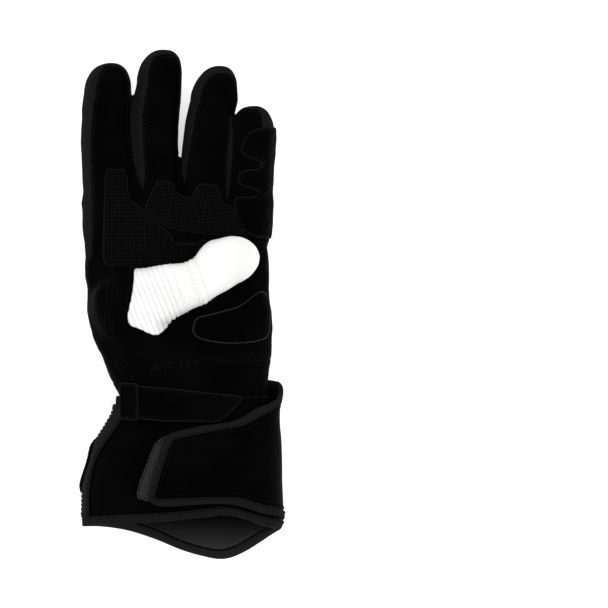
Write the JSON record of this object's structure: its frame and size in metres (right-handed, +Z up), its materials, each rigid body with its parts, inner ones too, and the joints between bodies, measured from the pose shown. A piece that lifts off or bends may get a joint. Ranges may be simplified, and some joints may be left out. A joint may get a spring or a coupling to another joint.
{
  "type": "motorcycle racing glove",
  "caption": "Black leather motorcycle racing gauntlet for the left hand, lying palm up with its white ribbed thumb folded across the palm, and a bound cuff with a strap and a wrapped flap.",
  "frame": {"origin": "on the table, under the middle of the glove's outer box", "axes": "+Z up out of the palm, +Y from the cuff to the fingertips, +X towards the little finger"},
  "size_m": [0.1238, 0.3055, 0.072],
  "materials": {
    "black_leather": "fine grained satin",
    "white_leather": "smooth satin",
    "grey_stretch": "matt stretch knit",
    "grip_patch": "small square relief",
    "binding_tape": "matt woven tape",
    "hook_tape": "matt hooks",
    "lining_cloth": "matt knit"
  },
  "bodies": {
    "root": {"palm_panel": "black_leather", "lower_palm": "black_leather", "back_panel": "black_leather", "wrist_sleeve": "black_leather", "hand_side_wall": "grey_stretch", "index_side_wall": "grey_stretch", "middle_side_wall": "grey_stretch", "ring_side_wall": "grey_stretch", "little_side_wall": "grey_stretch", "thumb_ribs": "white_leather", "thumb_band": "white_leather", "thumb_piping": "white_leather", "thumb_tip": "white_leather", "index_patch": "grip_patch", "finger_patch": "grip_patch", "little_guard": "black_leather", "heel_pad": "black_leather", "cuff_panel": "black_leather", "rim_binding": "binding_tape", "cuff_lining": "lining_cloth", "wrist_strap": "black_leather", "strap_keeper": "black_leather", "side_binding": "binding_tape", "side_pad": "black_leather", "flap_binding": "binding_tape", "cuff_flap": "black_leather", "hook_strip": "hook_tape"}
  },
  "joints": []
}
